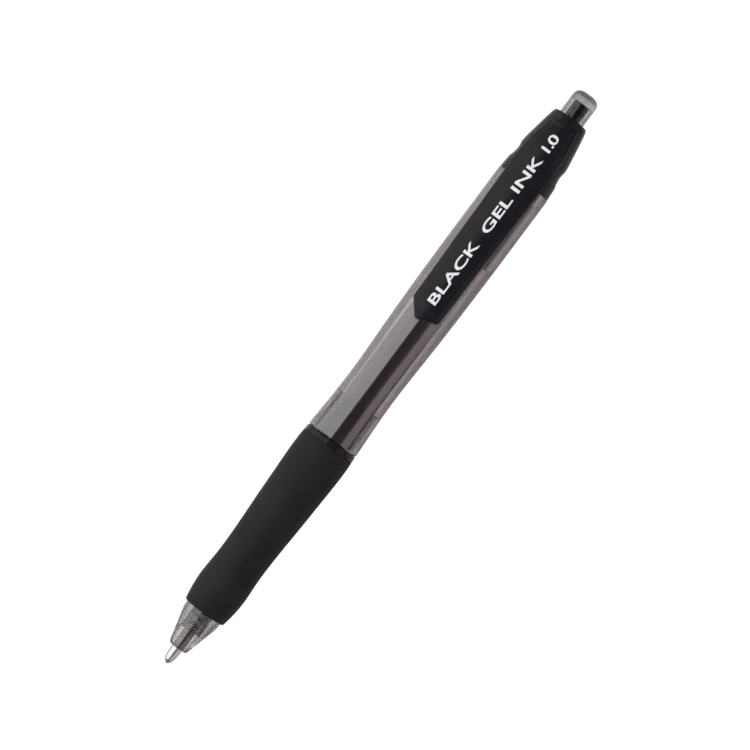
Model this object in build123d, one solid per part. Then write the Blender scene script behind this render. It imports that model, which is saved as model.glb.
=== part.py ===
from build123d import *
import os
from math import cos, pi

# Retractable gel pen, one STEP file for each physical piece.
#
# The pen lies on a table along X, tip at -X and push button at +X, with its clip on top, +Z.
# The origin is on the table under the middle of the pen. Pieces are drawn in millimetres as
# (station, radius): a station is the distance along the pen from the tip of the writing ball,
# a radius the distance from the pen's axis. The tip is out, as for writing.

# --- driving dimensions ---
LENGTH = 141.6  # ball to button end, tip out
BARREL_RADIUS = 5.95  # widest part of the barrel and of the grip, which the pen lies on
CLEARANCE = 0.1  # radial gap of a sliding piece
STROKE_BACK = 4.8  # travel of the button and refill when the tip retracts

# stations of the outside, from the tip
NOSE_START = 3.8
GRIP_START = 12.7
GRIP_END = 54.2
JOINT = 55.6  # where the two halves of the barrel screw together
BARREL_END = 119.6
COLLAR_END = 122.9
GROOVE_END = 126.2
CAP_END = 135.6

# front barrel and grip
TIP_BORE = 1.3
SPRING_SEAT = 8.2
SPRING_CHAMBER = 2.35
REFILL_BORE = 3.15
CARRIER_RADIUS = 4.1
GRIP_WAIST = 5.06
FLANGE_RADIUS = 5.0  # flange that stops the grip and carries the joint ring
FLANGE_END = 54.8
RING_RADIUS = 5.86
RING_BORE = 4.66
JOINT_RADIUS = 5.6
SPIGOT_RADIUS = 4.35
SPIGOT_END = 64.0
BEAD = (14.2, 15.4, 0.18)  # start, end and height of the bead that holds the grip

# rear barrel
SOCKET_RADIUS = 4.7
SOCKET_END = 64.5
BARREL_BORE = 3.75
SLEEVE_SEAT = 101.0
BARREL_WAIST = 5.31

# screw joint, drawn as rings
THREAD_PITCH = 1.6
THREAD_DEPTH = 0.26
THREAD_START = 57.0
THREAD_TURNS = 4

# cam sleeve, top cap and their bores
SLEEVE_RADIUS = 4.6
SLEEVE_START = 102.0
SLEEVE_END = 117.0
SLEEVE_BORE = 3.45
SPIGOT_START = 113.0
CAP_SPIGOT_RADIUS = 4.0
CAP_NECK_RADIUS = 4.2
CAP_BORE = 3.5
RIB_START = 106.0
RIB_RADIUS = 2.75
GROOVE_WIDTH = 1.6

# rotor and plunger
CAM_RADIUS = 2.6
FIN_RADIUS = 3.35
FIN_WIDTH = 1.2
FIN_COUNT = 4
FIN_LENGTH = 3.0
TOOTH_RISE = 0.8
TOOTH_COUNT = 8
PIN_RADIUS = 1.7
PIN_LENGTH = 4.0
FOOT_GAP = 0.03  # between the refill's tail and the rotor's foot
PLUNGER_BORE = 1.85
PLUNGER_RADIUS = 2.3
PLUNGER_SHOULDER = 127.5
HEAD_LENGTH = 3.0
SOCKET_DEPTH = 1.5  # how far the plunger's bore runs on behind its head
FLANGE_THICKNESS = 1.5
CROWN_START = 106.4

# button
BUTTON_RADIUS = 2.8
BUTTON_BORE = 1.8
CORE_END = 139.25
CORE_RADIUS = 1.72
BUTTON_ROUND = 1.6
BUTTON_SKIRT = 2.78  # radius at the hidden end, drafted out to the full radius at the cap

# refill
BALL_RADIUS = 0.5
SOCKET_GAP = 0.02
RIM = 0.28
POINT_RADIUS = 1.2
SOCKET_LIP = 0.55  # radius of the rim that is rolled over the ball
SHANK_RADIUS = 1.0
SHANK_END = 14.0
HOLDER_START = 9.8
HOLDER_NECK = 1.7
SHOULDER = 18.0
SHOULDER_RADIUS = 2.6
PLUG_LENGTH = 2.5
TUBE_START = 20.0
TUBE_RADIUS = 2.8
TUBE_BORE = 2.1
HOLDER_END = 26.0
INK_END = 88.0
GREASE_END = 92.0
TUBE_END = 100.0
REFILL_END = 100.5
INK_CHANNEL = 0.5

# springs: coil radius, wire radius, turns
RETURN_SPRING = (2.05, 0.2, 7)
BALL_SPRING = (0.2, 0.05, 12)
BALL_SPRING_END = 6.0
BALL_SPRING_BORE = 0.3

# clip
CLIP_START = 85.0
CLIP_END = 134.9
CLIP_HALF_WIDTH = 3.7
CLIP_FLARE = 0.6  # gain of half-width from the free end to the cap
CLIP_POINT = 0.95  # the free end is cut to a point this far to one side
CLIP_LIMIT = 4.5  # half-width that holds the whole clip
CLIP_RIDGE = 2.87  # half the width of its top, between the sloped shoulders
CLIP_CROWN = 0.22  # how far the middle of the top stands above its edges
CLIP_SHOULDER = 0.5  # height of the sloped shoulders
CLIP_TAPER = (1.7, 1.6, 0.5)  # at the cap end: loss of half-width and ridge, growth of shoulder
CLIP_TOP = 8.2
CLIP_REAR_TOP = 4.2
CLIP_UNDERSIDE = 6.95
CLIP_DROP = 118.0  # from here the clip curves down to the cap
CLIP_BEAD = (89.4, 1.02, 4.4)  # station, radius and width of the bead that grips the cloth
POCKET_HALF_WIDTH = 2.6
POCKET_FLOOR = 3.8
POCKET_END = 133.4
ROOT_TOP = 4.9
CLIP_GAP = 0.08
OUTSIDE = 12.0  # a radius that clears the whole pen


def turned(*edges):
    """Solid of revolution about the pen's axis, from a closed outline of (station, radius)."""
    return revolve(make_face(Curve() + list(edges)), Axis.X)


def ring(start, end, inner, outer):
    """Plain tube about the pen's axis, or a rod where inner is 0."""
    outline = Polyline((start, inner), (end, inner), (end, outer), (start, outer), close=True)
    return turned(outline)


def around(count, piece, first=0.0):
    """Copies of a piece spaced evenly about the pen's axis."""
    return [Rot(first + 360 * i / count, 0, 0) * piece for i in range(count)]


def radial_block(start, end, inner, outer, width):
    """Block that stands on the pen's axis and points along +Z."""
    size = Box(end - start, width, outer - inner)
    return Pos((start + end) / 2, 0, (inner + outer) / 2) * size


def crown(base, rise, inner, outer):
    """Ring of sawteeth that start at the base station and rise along the pen."""
    half = pi * (inner + outer) / 2 / TOOTH_COUNT
    tooth = make_face(Polyline((base, -half), (base + rise, half), (base, half), close=True))
    wedge = extrude(Plane.XY.offset(inner * 0.8) * tooth, outer * 1.2 - inner * 0.8)
    low, high = min(base, base + rise), max(base, base + rise)
    limit = ring(low, high, inner, outer)
    teeth = Part() + [limit & copy for copy in around(TOOTH_COUNT, wedge)]
    return teeth


def coil(start, end, spring):
    """Coil spring of round wire whose outer faces lie at the two stations."""
    coil_radius, wire_radius, turns = spring
    height = end - start - 2 * wire_radius
    first = Vector(start + wire_radius, 0, 0)
    path = Helix(height / turns, height, coil_radius, center=first, direction=(1, 0, 0))
    section = Plane(origin=path @ 0, z_dir=path % 0) * Circle(wire_radius)
    return sweep(section, path=path, is_frenet=True)


def thread(start, inner, outer):
    """Rings of a coarse thread, each with sloped flanks, between two radii."""
    crest, foot = THREAD_PITCH * 0.12, THREAD_PITCH * 0.22
    rings = []
    for turn in range(THREAD_TURNS):
        middle = start + THREAD_PITCH * turn
        outline = Polyline(
            (middle - foot, inner), (middle + foot, inner),
            (middle + crest, outer), (middle - crest, outer), close=True)
        rings.append(turned(outline))
    return rings


def grip_seat():
    """Cylinder that carries the grip, with the bead that locks it."""
    start, end, height = BEAD
    middle = (start + end) / 2
    seat = ring(GRIP_START, GRIP_END, 0, CARRIER_RADIUS)
    bead = turned(Polyline((start, 0), (end, 0), (end, CARRIER_RADIUS),
                           (middle, CARRIER_RADIUS + height), (start, CARRIER_RADIUS), close=True))
    return seat + bead


def front_barrel():
    """Nose cone, grip carrier, flange and screw spigot in one translucent moulding."""
    lip = ThreePointArc((NOSE_START, 1.7), (3.93, 2.04), (4.35, 2.2))
    cone = Spline(lip @ 1, (8.0, 3.16), (10.4, 3.79), (12.4, CARRIER_RADIUS),
                  tangents=[(1, 0.3), (1, 0)])
    rest = Polyline(
        cone @ 1, (GRIP_END, CARRIER_RADIUS), (GRIP_END, FLANGE_RADIUS),
        (FLANGE_END, FLANGE_RADIUS), (FLANGE_END, SPIGOT_RADIUS),
        (SPIGOT_END - 0.4, SPIGOT_RADIUS), (SPIGOT_END, SPIGOT_RADIUS - 0.3),
        (SPIGOT_END, REFILL_BORE), (14.5, REFILL_BORE), (11.5, SPRING_CHAMBER),
        (SPRING_SEAT, SPRING_CHAMBER), (SPRING_SEAT, TIP_BORE), (NOSE_START, TIP_BORE), lip @ 0)
    barrel = turned(lip, cone, rest)
    bead = grip_seat() - ring(GRIP_START, GRIP_END, 0, CARRIER_RADIUS)
    return barrel + bead + thread(THREAD_START, SPIGOT_RADIUS - 0.1, SPIGOT_RADIUS + THREAD_DEPTH)


def grip():
    """Rubber sleeve with a bulge at each end and a waist for the fingers."""
    front = ThreePointArc((GRIP_START, 4.36), (12.85, 4.6), (13.3, 4.73))
    side = Spline(front @ 1, (15.6, 5.08), (18.9, 5.31), (22.6, 5.14), (26.6, GRIP_WAIST),
                  (36.0, 5.42), (46.0, 5.82), (52.2, BARREL_RADIUS), tangents=[(1, 0.2), (1, 0)])
    rear = TangentArc(side @ 1, (GRIP_END, 5.84), tangent=(1, 0))
    base = Polyline(rear @ 1, (GRIP_END, 3), (GRIP_START, 3), front @ 0)
    return turned(front, side, rear, base) - grip_seat()


def joint_ring():
    """Glossy ring over the screw joint, held between the front barrel's flange and the rear barrel."""
    seat = FLANGE_RADIUS + CLEARANCE / 2
    outline = Polyline(
        (GRIP_END, seat), (GRIP_END, RING_RADIUS), (JOINT - 0.25, RING_RADIUS - 0.06),
        (JOINT, JOINT_RADIUS), (JOINT, RING_BORE), (FLANGE_END, RING_BORE), (FLANGE_END, seat),
        close=True)
    return turned(outline)


def rear_barrel():
    """Translucent tube with a slim waist, a screw socket in front and a wide bore at the rear."""
    chamfer = Line((JOINT, JOINT_RADIUS), (JOINT + 0.25, 5.77))
    side = Spline(chamfer @ 1, (61.0, 5.53), (68.8, BARREL_WAIST), (78.0, 5.53), (88.0, 5.8),
                  (97.0, 5.92), (103.0, BARREL_RADIUS), tangents=[(1, -0.03), (1, 0)])
    rest = Polyline(
        side @ 1, (BARREL_END - 0.15, BARREL_RADIUS), (BARREL_END, BARREL_RADIUS - 0.1),
        (BARREL_END, CAP_NECK_RADIUS), (SLEEVE_END, CAP_NECK_RADIUS),
        (SLEEVE_END, SLEEVE_RADIUS), (SLEEVE_SEAT, SLEEVE_RADIUS), (SLEEVE_SEAT, BARREL_BORE),
        (SOCKET_END, BARREL_BORE), (SOCKET_END, SOCKET_RADIUS), (JOINT, SOCKET_RADIUS),
        chamfer @ 0)
    barrel = turned(chamfer, side, rest)
    between = THREAD_START + THREAD_PITCH / 2
    groove_flanks = thread(between, SOCKET_RADIUS + 0.1, SOCKET_RADIUS - THREAD_DEPTH)
    return barrel + groove_flanks


def cap_outline(gap):
    """Outside of the cap's dome, from its groove to its end, with a gap added all round."""
    shoulder = Spline((GROOVE_END, 5.4 + gap), (129.8, 4.92 + gap), (132.8, 4.42 + gap),
                      (CAP_END - 0.6, 3.98 + gap), tangents=[(1, -0.03), (1, -0.2)])
    corner = ThreePointArc(shoulder @ 1, (CAP_END - 0.12 + gap, 3.76 + gap), (CAP_END + gap, 3.44))
    return shoulder, corner


def top_cap():
    """Black end piece: collar, groove and dome, with a spigot that plugs the barrel."""
    shoulder, corner = cap_outline(0.0)
    collar = Polyline((BARREL_END, CAP_NECK_RADIUS), (BARREL_END, 5.7), (BARREL_END + 0.2, 5.86),
                      (COLLAR_END - 0.2, 5.66), (COLLAR_END, 5.52))
    groove = Spline(collar @ 1, (124.2, 5.28), (125.0, 5.22), shoulder @ 0,
                    tangents=[(1, -0.3), (1, 0.2)])
    bores = Polyline(
        corner @ 1, (CAP_END, BUTTON_RADIUS + CLEARANCE), (GROOVE_END, BUTTON_RADIUS + CLEARANCE),
        (GROOVE_END, CAP_BORE), (SPIGOT_START, CAP_BORE), (SPIGOT_START, CAP_SPIGOT_RADIUS),
        (SLEEVE_END, CAP_SPIGOT_RADIUS), (SLEEVE_END, CAP_NECK_RADIUS), collar @ 0)
    cap = turned(collar, groove, shoulder, corner, bores)
    pocket = radial_block(GROOVE_END, POCKET_END, POCKET_FLOOR, OUTSIDE, 2 * POCKET_HALF_WIDTH)
    return cap - pocket


def cam_sleeve():
    """Sleeve with four stop ribs. The notched rib ends hold the rotor's fins when latched."""
    tube = ring(SLEEVE_START, SLEEVE_END, SLEEVE_BORE, SLEEVE_RADIUS)
    tube -= ring(SPIGOT_START, SLEEVE_END, SLEEVE_BORE, CAP_SPIGOT_RADIUS)
    ribs = ring(RIB_START, SPIGOT_START, RIB_RADIUS, SLEEVE_BORE + 0.05)
    slot = radial_block(RIB_START, SPIGOT_START, 0, SLEEVE_RADIUS, GROOVE_WIDTH)
    notch = Pos(RIB_START, 0, RIB_RADIUS) * Rot(0, 0, 45) * Box(FIN_WIDTH, FIN_WIDTH, FIN_WIDTH)
    half_way = 180 / FIN_COUNT
    ribs = ribs - around(FIN_COUNT, slot) - around(FIN_COUNT, notch, half_way)
    return tube + ribs


def rotor():
    """Indexing cam: a crown of teeth, four fins and a foot that pushes the refill."""
    base = RIB_START - TOOTH_RISE + 0.2
    foot = ring(REFILL_END + FOOT_GAP, RIB_START - FIN_LENGTH, 0, PLUNGER_RADIUS)
    body = ring(RIB_START - FIN_LENGTH, base, 0, CAM_RADIUS)
    pin = ring(base, base + PIN_LENGTH, 0, PIN_RADIUS)
    fin = radial_block(RIB_START - FIN_LENGTH, RIB_START - 0.05, 2.0, FIN_RADIUS, FIN_WIDTH)
    fins = Part() + around(FIN_COUNT, fin)
    fins &= ring(RIB_START - FIN_LENGTH, RIB_START, 0, FIN_RADIUS)
    return foot + body + pin + crown(base, TOOTH_RISE, PIN_RADIUS, CAM_RADIUS) + fins


def plunger():
    """Black core of the button, which reaches down to the rotor and carries the pushing crown."""
    base = CROWN_START + TOOTH_RISE
    head_end = base + HEAD_LENGTH
    head = ring(base, head_end, PLUNGER_BORE, CAM_RADIUS)
    teeth = crown(base, -TOOTH_RISE, PLUNGER_BORE, CAM_RADIUS)
    lug = radial_block(base + 0.4, head_end, 2.2, FIN_RADIUS, FIN_WIDTH)
    lugs = Part() + around(FIN_COUNT, lug)
    lugs &= ring(base, head_end, 0, FIN_RADIUS)
    stem = ring(head_end, PLUNGER_SHOULDER, 0, PLUNGER_RADIUS)
    stem -= ring(head_end, head_end + SOCKET_DEPTH, 0, PLUNGER_BORE)
    stop_face = GROOVE_END - STROKE_BACK - CLEARANCE / 2
    flange = ring(stop_face - FLANGE_THICKNESS, stop_face, 0, FIN_RADIUS)
    core = ring(PLUNGER_SHOULDER, CORE_END, 0, CORE_RADIUS)
    return head + teeth + lugs + stem + flange + core


def push_button():
    """Clear cap pressed over the plunger's core, with a rounded end."""
    end_round = ThreePointArc(
        (LENGTH - BUTTON_ROUND, BUTTON_RADIUS),
        (LENGTH - BUTTON_ROUND * 0.3, BUTTON_RADIUS - BUTTON_ROUND * 0.3),
        (LENGTH, BUTTON_RADIUS - BUTTON_ROUND))
    rest = Polyline(end_round @ 1, (LENGTH, 0), (CORE_END, 0), (CORE_END, BUTTON_BORE),
                    (PLUNGER_SHOULDER, BUTTON_BORE), (PLUNGER_SHOULDER, BUTTON_SKIRT),
                    (CAP_END + CLEARANCE, BUTTON_RADIUS), end_round @ 0)
    return turned(end_round, rest)


def tip_cone():
    """Turned metal point: a socket for the ball, a channel and a shank for the holder."""
    outline = Polyline(
        (RIM, 0), (RIM, SOCKET_LIP), (0.8, 0.9), (1.5, 1.05), (2.6, POINT_RADIUS),
        (HOLDER_START, POINT_RADIUS), (HOLDER_START, SHANK_RADIUS), (SHANK_END, SHANK_RADIUS),
        (SHANK_END, 0), close=True)
    socket = Pos(BALL_RADIUS, 0, 0) * Sphere(BALL_RADIUS + SOCKET_GAP)
    spring_bore = ring(BALL_RADIUS, BALL_SPRING_END, 0, BALL_SPRING_BORE)
    channel = ring(BALL_SPRING_END, SHANK_END, 0, BALL_SPRING_BORE * 0.5)
    return turned(outline) - socket - spring_bore - channel


def ball():
    """Carbide writing ball."""
    return Pos(BALL_RADIUS, 0, 0) * Sphere(BALL_RADIUS)


def ball_spring():
    """Fine spring that presses the ball against the rim and keeps the ink in."""
    return coil(2 * BALL_RADIUS + 0.02, BALL_SPRING_END, BALL_SPRING)


def tip_holder():
    """Plastic adaptor: a neck inside the spring, a shoulder for it and a plug in the tube."""
    outline = Polyline(
        (HOLDER_START, SHANK_RADIUS), (HOLDER_START, 1.5), (HOLDER_START + 0.8, HOLDER_NECK),
        (SHOULDER, HOLDER_NECK), (SHOULDER, SHOULDER_RADIUS), (TUBE_START - 0.6, TUBE_RADIUS),
        (TUBE_START, TUBE_RADIUS), (TUBE_START, TUBE_BORE), (HOLDER_END, TUBE_BORE),
        (HOLDER_END, INK_CHANNEL), (SHANK_END, INK_CHANNEL), (SHANK_END, SHANK_RADIUS),
        close=True)
    return turned(outline)


def ink_tube():
    """Clear tube of the refill."""
    return ring(TUBE_START, TUBE_END, TUBE_BORE, TUBE_RADIUS)


def ink_column():
    """Gel ink that fills the tube and the holder's channel."""
    channel = ring(SHANK_END, HOLDER_END, 0, INK_CHANNEL)
    return ring(HOLDER_END, INK_END, 0, TUBE_BORE) + channel


def grease_follower():
    """Grease plug that follows the ink as it is used."""
    return ring(INK_END, GREASE_END, 0, TUBE_BORE)


def tail_plug():
    """Vented plug in the tail of the refill, with a flange that the rotor pushes."""
    plug = ring(TUBE_END - PLUG_LENGTH, TUBE_END, INK_CHANNEL, TUBE_BORE)
    return plug + ring(TUBE_END, REFILL_END, INK_CHANNEL, SHOULDER_RADIUS)


def return_spring():
    """Spring between the nose and the shoulder of the refill."""
    return coil(SPRING_SEAT, SHOULDER, RETURN_SPRING)


def clip_section(station, bottom):
    """Cross-section of the clip: a crowned top between two sloped shoulders."""
    along = max(0.0, station - CLIP_DROP) / (CLIP_END - CLIP_DROP)
    top = CLIP_REAR_TOP + (CLIP_TOP - CLIP_REAR_TOP) * cos(pi / 2 * along)
    edge = top - CLIP_CROWN
    narrowing = (max(0.0, station - COLLAR_END) / (CLIP_END - COLLAR_END)) ** 2
    half_loss, ridge_loss, shoulder_growth = CLIP_TAPER
    flare = min(1.0, (station - CLIP_START) / (COLLAR_END - CLIP_START))
    half = CLIP_HALF_WIDTH + CLIP_FLARE * flare - half_loss * narrowing
    ridge = CLIP_RIDGE - ridge_loss * narrowing
    shoulder = edge - CLIP_SHOULDER - shoulder_growth * narrowing
    crowned = ThreePointArc((station, ridge, edge), (station, 0, top), (station, -ridge, edge))
    corners = [(-ridge, edge), (-half, shoulder), (-half, bottom),
               (half, bottom), (half, shoulder), (ridge, edge)]
    below = Polyline(*[(station, y, z) for y, z in corners])
    return make_face(Curve() + [crowned, below])


def clip_plan():
    """Outline of the clip from above: the free end is cut to an off-centre point."""
    outline = Polyline(
        (CLIP_START, CLIP_POINT), (CLIP_START + 0.1, CLIP_POINT - 0.65),
        (CLIP_START + 1.8, -CLIP_LIMIT), (CLIP_END, -CLIP_LIMIT), (CLIP_END, CLIP_LIMIT),
        (CLIP_START + 4.2, CLIP_LIMIT), close=True)
    return extrude(make_face(outline), OUTSIDE)


def clip():
    """Sprung pocket clip: a blade with a bead under its free end and a root in the cap."""
    steps = 9
    front = [(CLIP_START, CLIP_UNDERSIDE), (CLIP_DROP, CLIP_UNDERSIDE), (120.4, CLIP_UNDERSIDE),
             (COLLAR_END, CLIP_UNDERSIDE), (124.6, 6.2), (GROOVE_END, 5.5)]
    rear = [GROOVE_END + (CLIP_END - GROOVE_END) * i / (steps - 1) for i in range(steps)]
    blade = loft([clip_section(*place) for place in front], ruled=True)
    blade += loft([clip_section(station, 2.0) for station in rear], ruled=True)
    shoulder, corner = cap_outline(CLIP_GAP)
    below = Polyline(corner @ 1, (CAP_END + CLIP_GAP, 0), (GROOVE_END - 1, 0),
                     (GROOVE_END - 1, 5.3 + CLIP_GAP), shoulder @ 0)
    dome = turned(shoulder, corner, below)
    root = radial_block(GROOVE_END + CLEARANCE, POCKET_END - CLEARANCE, POCKET_FLOOR + 0.05,
                        ROOT_TOP, 2 * (POCKET_HALF_WIDTH - CLEARANCE))
    station, radius, width = CLIP_BEAD
    bead = Pos(station, 0, CLIP_UNDERSIDE) * Rot(90, 0, 0) * Cylinder(radius, width)
    return (blade & clip_plan()) - dome + root + bead


PIECES = [
    ball, ball_spring, clip, cam_sleeve, front_barrel, grease_follower, grip, ink_column,
    ink_tube, joint_ring, plunger, push_button, rear_barrel, return_spring, rotor, tail_plug,
    tip_cone, tip_holder, top_cap,
]

os.makedirs("parts", exist_ok=True)
on_table = Pos(-LENGTH / 2, 0, BARREL_RADIUS)
for piece in PIECES:
    export_step(on_table * piece(), f"parts/{piece.__name__}.step")
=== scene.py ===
from math import cos, pi, radians, sin, sqrt

import bmesh
import bpy
import numpy as np
from mathutils import Matrix, Vector


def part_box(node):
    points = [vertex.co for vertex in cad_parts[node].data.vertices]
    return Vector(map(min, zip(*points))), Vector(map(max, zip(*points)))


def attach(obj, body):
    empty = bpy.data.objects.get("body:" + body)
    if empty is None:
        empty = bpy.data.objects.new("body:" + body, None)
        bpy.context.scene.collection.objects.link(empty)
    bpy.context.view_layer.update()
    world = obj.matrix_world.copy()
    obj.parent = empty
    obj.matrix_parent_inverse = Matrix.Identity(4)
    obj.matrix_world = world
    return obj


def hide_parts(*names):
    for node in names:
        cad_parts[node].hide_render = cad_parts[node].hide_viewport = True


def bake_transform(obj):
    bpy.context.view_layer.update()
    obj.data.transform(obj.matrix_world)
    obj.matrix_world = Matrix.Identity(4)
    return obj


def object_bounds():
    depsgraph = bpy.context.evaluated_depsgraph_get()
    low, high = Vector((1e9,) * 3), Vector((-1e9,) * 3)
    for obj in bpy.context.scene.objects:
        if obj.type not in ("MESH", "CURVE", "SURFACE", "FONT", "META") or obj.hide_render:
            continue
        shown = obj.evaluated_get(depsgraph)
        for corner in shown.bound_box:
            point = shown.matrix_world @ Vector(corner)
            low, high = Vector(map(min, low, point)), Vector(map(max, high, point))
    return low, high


# Looks of the retractable gel pen: a smoke-grey barrel with its refill inside, a black rubber grip,
# a glossy black cap and clip, and a clear push button. Shapes are drawn in millimetres as
# (station, radius): a station is the distance along the pen from the tip of the writing ball, a
# radius the distance from the pen's axis. place() puts them into the frame, in metres.

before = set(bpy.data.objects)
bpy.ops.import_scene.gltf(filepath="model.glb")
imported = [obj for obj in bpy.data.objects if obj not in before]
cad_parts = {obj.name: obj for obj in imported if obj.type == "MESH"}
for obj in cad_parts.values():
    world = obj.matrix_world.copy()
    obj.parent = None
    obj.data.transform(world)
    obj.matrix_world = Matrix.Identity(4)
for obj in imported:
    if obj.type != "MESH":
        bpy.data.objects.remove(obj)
cad_low, cad_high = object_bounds()

MM = 0.001
LENGTH = 141.6  # ball to button end, in millimetres
TIP_X = cad_high.x - LENGTH * MM
AXIS_Z = (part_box("rear_barrel")[0].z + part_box("rear_barrel")[1].z) / 2
SEGMENTS = 144  # facets round a turned piece
SHADE_ANGLE = radians(32)  # steeper edges stay sharp
CORNER_STEPS = 4  # facets round a corner of an outline
HAIR = 0.02  # gap left between touching pieces of different materials

# stations of the outside
NOSE_START = 3.8
GRIP_START = 12.7
GRIP_END = 54.2
FLANGE_END = 54.8
JOINT = 55.6
BARREL_END = 119.6
COLLAR_END = 122.9
GROOVE_END = 126.2
CAP_END = 135.6

# stations of the inside
SPRING_SEAT = 8.2
HOLDER_START = 9.8
HOLDER_BORE_END = 14.02  # the metal point ends HAIR before this
REFILL_SHOULDER = 18.0
TUBE_START = 20.0
HOLDER_END = 26.0
INK_END = 88.0
TAIL_START = 97.5
TUBE_END = 100.0
SPIGOT_END = 64.0
SOCKET_END = 64.5
CAM_SEAT = 101.0
CAP_START = 113.0
CAP_STEP = 117.0
BUTTON_START = 127.5
CORE_END = 139.25

# radii shared by neighbouring pieces
CARRIER_RADIUS = 4.1
SPIGOT_RADIUS = 4.35
SOCKET_RADIUS = 4.7
FLANGE_RADIUS = 5.0
GROOVE_RADIUS = 5.4
BARREL_RADIUS = 5.95
BARREL_BORE = 3.75
CAM_BORE = 4.62
COLLAR_BORE = 4.22
NOSE_BORE = 1.3
SPRING_BORE = 2.35
REFILL_BORE = 3.15
CAP_BORE = 3.5
BUTTON_HOLE = 2.9
BUTTON_RADIUS = 2.8
BUTTON_ROUND = 1.6
BUTTON_BORE = 1.8
TUBE_RADIUS = 2.8
TUBE_BORE = 2.1
PLUG_RADIUS = 2.08  # what sits in the tube
POINT_RADIUS = 1.2
POINT_STEM = 1.0
POINT_BORE = 0.3
INK_CHANNEL = 0.15
BALL_RADIUS = 0.5
HOLDER_NECK = 1.7
HOLDER_BORE = 0.52

# screw joint
THREAD_START = 56.6
THREAD_END = 62.8
THREAD_PITCH = 1.6
THREAD_DEPTH = 0.24
TOOTH_CREST, TOOTH_SLOPE = 2.4, 9.0  # a tooth's height over its middle, cut off at 1
THREAD_RUN_OUT = 1.6  # gain of height per turn at both ends, cut off at 1

# clip
CLIP_START = 85.0
CLIP_END = 134.9
CLIP_HALF = 3.7
CLIP_FLARE = 0.6  # gain of half-width up to the collar
CLIP_NARROWING = 1.7  # loss of half-width from the collar to the end
CLIP_POINT = 0.95  # the point of the free end lies this far to the +Y side
CLIP_BLUNT = 0.65  # width of that point
CLIP_BLUNT_END = 0.1
CLIP_SLANTS = (0.845, 2.82)  # gain of width per millimetre, on the +Y and the -Y side
CLIP_LEAST_WIDTH = 0.05
CLIP_LEAST_WALL = 0.12
CLIP_RIDGE = 2.87
CLIP_RIDGE_NARROWING = 1.6
CLIP_TOP = 8.185
CLIP_REAR_TOP = 4.2
CLIP_CROWN = 0.22
CLIP_SHOULDER = 0.5
CLIP_UNDERSIDE = 6.95
CLIP_DROP = 118.0
CLIP_GAP = 0.08
CLIP_ROUNDING = 0.22
CLIP_POCKET = 133.4
BEAD_STATION = 89.4
BEAD_RADIUS = 1.02
BEAD_LENGTH = 4.4

# lettering
WORDS = [  # text, first and last station, spacing of the letters
    ("BLACK", 89.2, 104.2, 1.0),
    ("GEL INK", 106.7, 125.2, 1.0),
    ("1.0", 126.95, 130.75, 0.86),
]
LETTER_HEIGHT = 2.05
LETTER_WEIGHT = 0.018
PRINT_BOTTOM, PRINT_TOP = 0.002, 0.012  # above the clip


# --- outlines -------------------------------------------------------------------------------


def place(station, y=0.0, height=0.0):
    """Point of the frame from a station, a distance to the side and a height above the axis."""
    return Vector((TIP_X + station * MM, y * MM, AXIS_Z + height * MM))


def flow(knots, start_slope, end_slope, step=0.5):
    """Points of the clamped cubic spline through the knots, as (station, radius)."""
    s = np.array([knot[0] for knot in knots], float)
    r = np.array([knot[1] for knot in knots], float)
    gap = np.diff(s)
    count = len(s)
    system = np.eye(count)
    right = np.zeros(count)
    right[0], right[-1] = start_slope, end_slope
    for i in range(1, count - 1):
        before, after = gap[i - 1], gap[i]
        system[i, i - 1:i + 2] = 1 / before, 2 / before + 2 / after, 1 / after
        right[i] = 3 * ((r[i] - r[i - 1]) / before ** 2 + (r[i + 1] - r[i]) / after ** 2)
    slope = np.linalg.solve(system, right)
    points = []
    for i in range(count - 1):
        steps = max(2, round(gap[i] / step))
        for k in range(steps):
            t = k / steps
            start = (1 + 2 * t) * (1 - t) ** 2 * r[i] + t * (1 - t) ** 2 * gap[i] * slope[i]
            end = t * t * (3 - 2 * t) * r[i + 1] - t * t * (1 - t) * gap[i] * slope[i + 1]
            points.append((s[i] + t * gap[i], start + end))
    points.append((s[-1], r[-1]))
    return points


def rounded(corners):
    """Closed outline from corners (station, radius) or (station, radius, rounding)."""
    outline = []
    for i, (station, radius, *rounding) in enumerate(corners):
        here = Vector((station, radius))
        if not rounding:
            outline.append(tuple(here))
            continue
        back = Vector(corners[i - 1][:2]) - here
        on = Vector(corners[(i + 1) % len(corners)][:2]) - here
        reach = min(rounding[0], 0.45 * back.length, 0.45 * on.length)
        first, last = here + back.normalized() * reach, here + on.normalized() * reach
        for k in range(CORNER_STEPS + 1):
            t = k / CORNER_STEPS
            outline.append(tuple(first * (1 - t) ** 2 + here * (2 * t * (1 - t)) + last * t * t))
    return outline


def cap_dome():
    """Line of the cap's dome."""
    return flow([(GROOVE_END, GROOVE_RADIUS), (129.8, 4.92), (132.8, 4.42), (135.0, 3.98)], -0.03, -0.2)


# --- meshes ---------------------------------------------------------------------------------


def mesh_object(name, bm, angle=SHADE_ANGLE):
    """Scene object from a bmesh, smooth except at edges steeper than the angle."""
    bmesh.ops.recalc_face_normals(bm, faces=bm.faces)
    mesh = bpy.data.meshes.new(name)
    bm.to_mesh(mesh)
    bm.free()
    mesh.shade_smooth()
    mesh.set_sharp_from_angle(angle=angle)
    piece = bpy.data.objects.new(name, mesh)
    bpy.context.collection.objects.link(piece)
    return piece


def bridge(bm, first, second):
    """Faces between two closed rows of vertices. A row of one vertex is a pole."""
    if len(first) == 1 and len(second) == 1:
        return
    if len(first) == 1:
        first, second = second, first
    count = len(first)
    for k in range(count):
        after = (k + 1) % count
        if len(second) == 1:
            bm.faces.new((first[k], first[after], second[0]))
        else:
            bm.faces.new((first[k], first[after], second[after], second[k]))


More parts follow.
